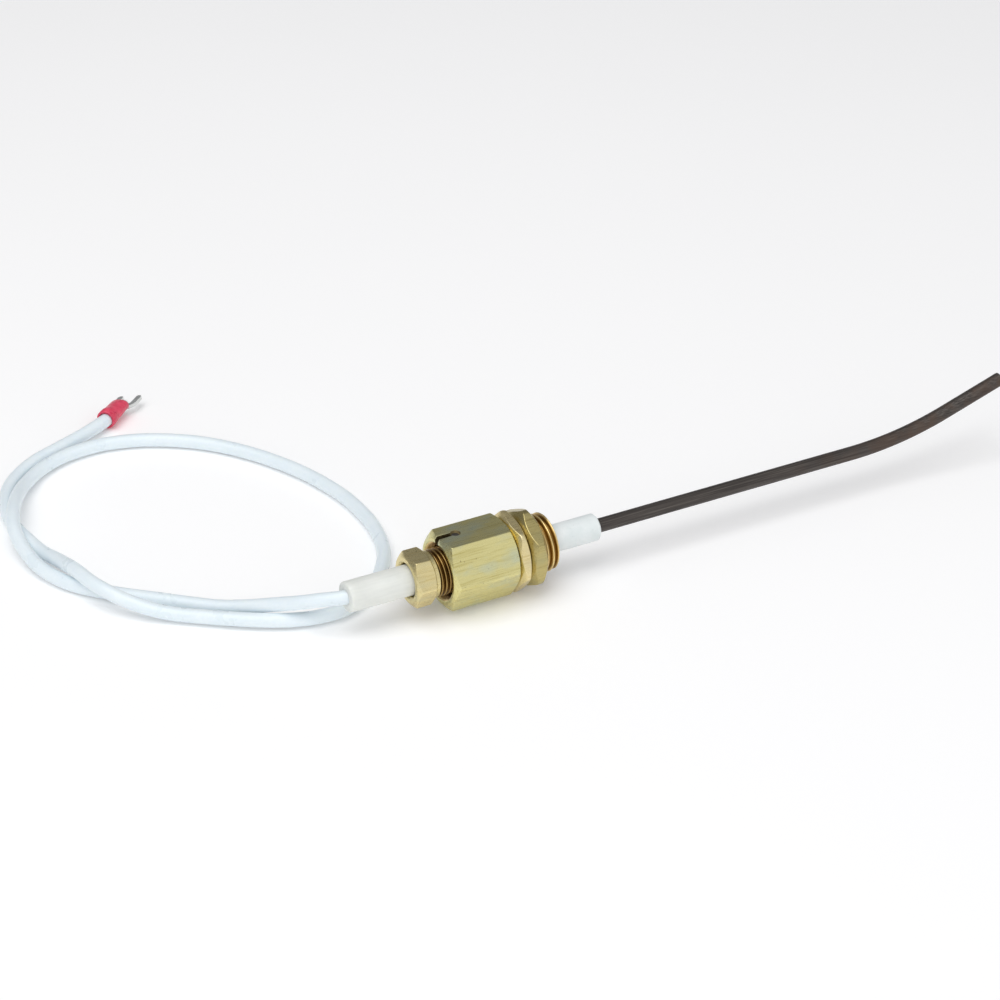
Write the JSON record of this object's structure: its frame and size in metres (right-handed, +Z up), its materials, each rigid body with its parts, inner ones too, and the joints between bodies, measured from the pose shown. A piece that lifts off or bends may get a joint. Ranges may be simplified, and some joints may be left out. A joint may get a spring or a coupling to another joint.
{
  "type": "flame sensor probe",
  "caption": "Flame sensor probe: bent sensing rod in a ceramic tube, brass compression holder with gland nut and jam nuts, silicone lead with a red insulated fork terminal.",
  "frame": {"origin": "below the middle of the probe's length (lead and terminal left out), on the surface that the outer jam nut's lowest corner rests on", "axes": "+X along the probe towards its bent tip, +Z up, +Y towards the side the lead is coiled on"},
  "size_m": [0.2214, 0.1288, 0.0196],
  "materials": {
    "brass": "drawn and turned brass, lightly aged",
    "steel": "plain steel",
    "tin": "tinned copper",
    "rod": "heat-resisting alloy with a dark oxide skin",
    "ceramic": "fired white alumina",
    "cement": "rough ceramic cement",
    "graphite": "pressed graphite packing",
    "silicone": "translucent white silicone tube",
    "lead": "white silicone insulation",
    "copper": "bare copper strand",
    "vinyl": "red vinyl"
  },
  "bodies": {
    "probe": {"sensing_rod": "rod", "ceramic_tube": "ceramic", "front_cement_seal": "cement", "rear_cement_seal": "cement", "crimp_ferrule": "tin", "lead_core_rear": "copper", "rear_sleeve": "silicone", "lead_wire": "lead", "lead_core_front": "copper", "fork_terminal": "tin", "terminal_sleeve": "vinyl"},
    "packing": {"packing_ring_1": "graphite", "packing_ring_2": "graphite", "packing_ring_3": "graphite"},
    "holder": {"holder_body": "brass", "thrust_bush": "brass", "guide_pin": "steel", "seat_washer": "brass"},
    "gland_washer": {"slip_washer": "steel"},
    "gland": {"gland_nut": "brass"},
    "inner_nut": {"jam_nut_inner": "brass"},
    "outer_nut": {"jam_nut_outer": "brass"}
  },
  "joints": [
    {"name": "holder_slide", "type": "slide", "parent": "probe", "child": "packing", "axis": [1, 0, 0], "range_m": [-0.006, 0.008]},
    {"name": "holder_turn", "type": "hinge", "parent": "packing", "child": "holder", "pos_m": [-0.055, 0, 0.0093], "axis": [1, 0, 0], "continuous": true},
    {"name": "gland_travel", "type": "slide", "parent": "holder", "child": "gland_washer", "axis": [1, 0, 0], "range_m": [-0.001, 0]},
    {"name": "gland_turn", "type": "hinge", "parent": "gland_washer", "child": "gland", "pos_m": [-0.066, 0, 0.0093], "axis": [1, 0, 0], "range_deg": [-360, 0]},
    {"name": "inner_nut_turn", "type": "hinge", "parent": "holder", "child": "inner_nut", "pos_m": [-0.0457, 0, 0.0093], "axis": [1, 0, 0], "continuous": true},
    {"name": "outer_nut_turn", "type": "hinge", "parent": "holder", "child": "outer_nut", "pos_m": [-0.0421, 0, 0.0093], "axis": [1, 0, 0], "continuous": true}
  ],
  "couplings": [
    {"joint": "gland_travel", "follows": "gland_turn", "m_per_rad": 0.00015915}
  ]
}
